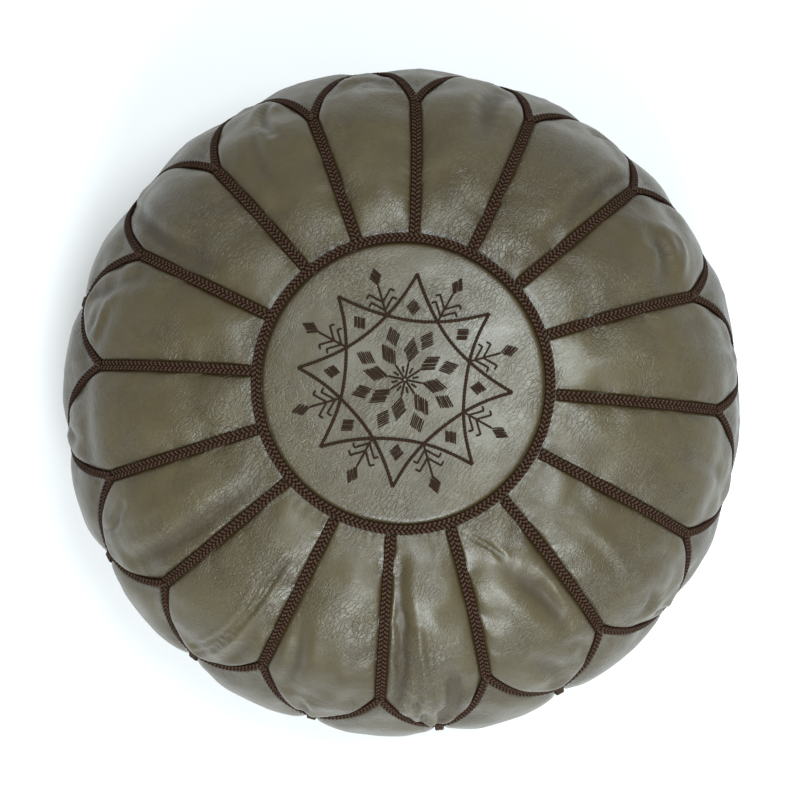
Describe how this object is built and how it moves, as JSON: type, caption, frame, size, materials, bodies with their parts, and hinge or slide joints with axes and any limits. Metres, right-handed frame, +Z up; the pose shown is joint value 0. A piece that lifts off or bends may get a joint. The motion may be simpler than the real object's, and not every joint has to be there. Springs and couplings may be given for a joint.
{
  "type": "leather pouf",
  "caption": "Round stuffed leather pouf seat with plaited cord over its petal seams, an embroidered centre and a zip underneath.",
  "frame": {"origin": "centre of the pouf on the ground it stands on", "axes": "+Z up through the embroidered medallion, +X along the zip, a radial seam on +X and on +Y"},
  "size_m": [0.549, 0.549, 0.3005],
  "materials": {
    "petal_leather": "satin goat leather, fine grain",
    "side_leather": "satin goat leather, fine grain",
    "base_leather": "matt goat leather",
    "cord": "plaited waxed cotton cord",
    "thread": "satin-stitched cotton thread",
    "lining": "plain cotton",
    "fill": "cotton stuffing",
    "zip_tape": "woven tape with nylon coil",
    "zip_metal": "aged brass"
  },
  "bodies": {
    "pouf": {"top_medallion": "petal_leather", "top_petal_01": "petal_leather", "top_petal_02": "petal_leather", "top_petal_03": "petal_leather", "top_petal_04": "petal_leather", "top_petal_05": "petal_leather", "top_petal_06": "petal_leather", "top_petal_07": "petal_leather", "top_petal_08": "petal_leather", "top_petal_09": "petal_leather", "top_petal_10": "petal_leather", "top_petal_11": "petal_leather", "top_petal_12": "petal_leather", "top_petal_13": "petal_leather", "top_petal_14": "petal_leather", "top_petal_15": "petal_leather", "top_petal_16": "petal_leather", "side_panel_01": "side_leather", "side_panel_02": "side_leather", "side_panel_03": "side_leather", "side_panel_04": "side_leather", "side_panel_05": "side_leather", "side_panel_06": "side_leather", "side_panel_07": "side_leather", "side_panel_08": "side_leather", "side_panel_09": "side_leather", "side_panel_10": "side_leather", "side_panel_11": "side_leather", "side_panel_12": "side_leather", "side_panel_13": "side_leather", "side_panel_14": "side_leather", "side_panel_15": "side_leather", "side_panel_16": "side_leather", "base_leather": "base_leather", "medallion_braid": "cord", "radial_braid_01": "cord", "radial_braid_02": "cord", "radial_braid_03": "cord", "radial_braid_04": "cord", "radial_braid_05": "cord", "radial_braid_06": "cord", "radial_braid_07": "cord", "radial_braid_08": "cord", "radial_braid_09": "cord", "radial_braid_10": "cord", "radial_braid_11": "cord", "radial_braid_12": "cord", "radial_braid_13": "cord", "radial_braid_14": "cord", "radial_braid_15": "cord", "radial_braid_16": "cord", "rim_braid": "cord", "base_braid": "cord", "embroidery_star": "thread", "lining": "lining", "fill": "fill", "zip_tape_left": "zip_tape", "zip_tape_right": "zip_tape"},
    "zip_slider": {"zip_slider": "zip_metal"},
    "zip_pull": {"zip_pull": "zip_metal"}
  },
  "joints": [
    {"name": "zip_slide", "type": "slide", "parent": "pouf", "child": "zip_slider", "axis": [1, 0, 0], "range_m": [0, 0.208]},
    {"name": "pull_swivel", "type": "hinge", "parent": "zip_slider", "child": "zip_pull", "pos_m": [-0.104, 0, 0.0049], "axis": [0, 1, 0], "range_deg": [-8, 170]}
  ]
}
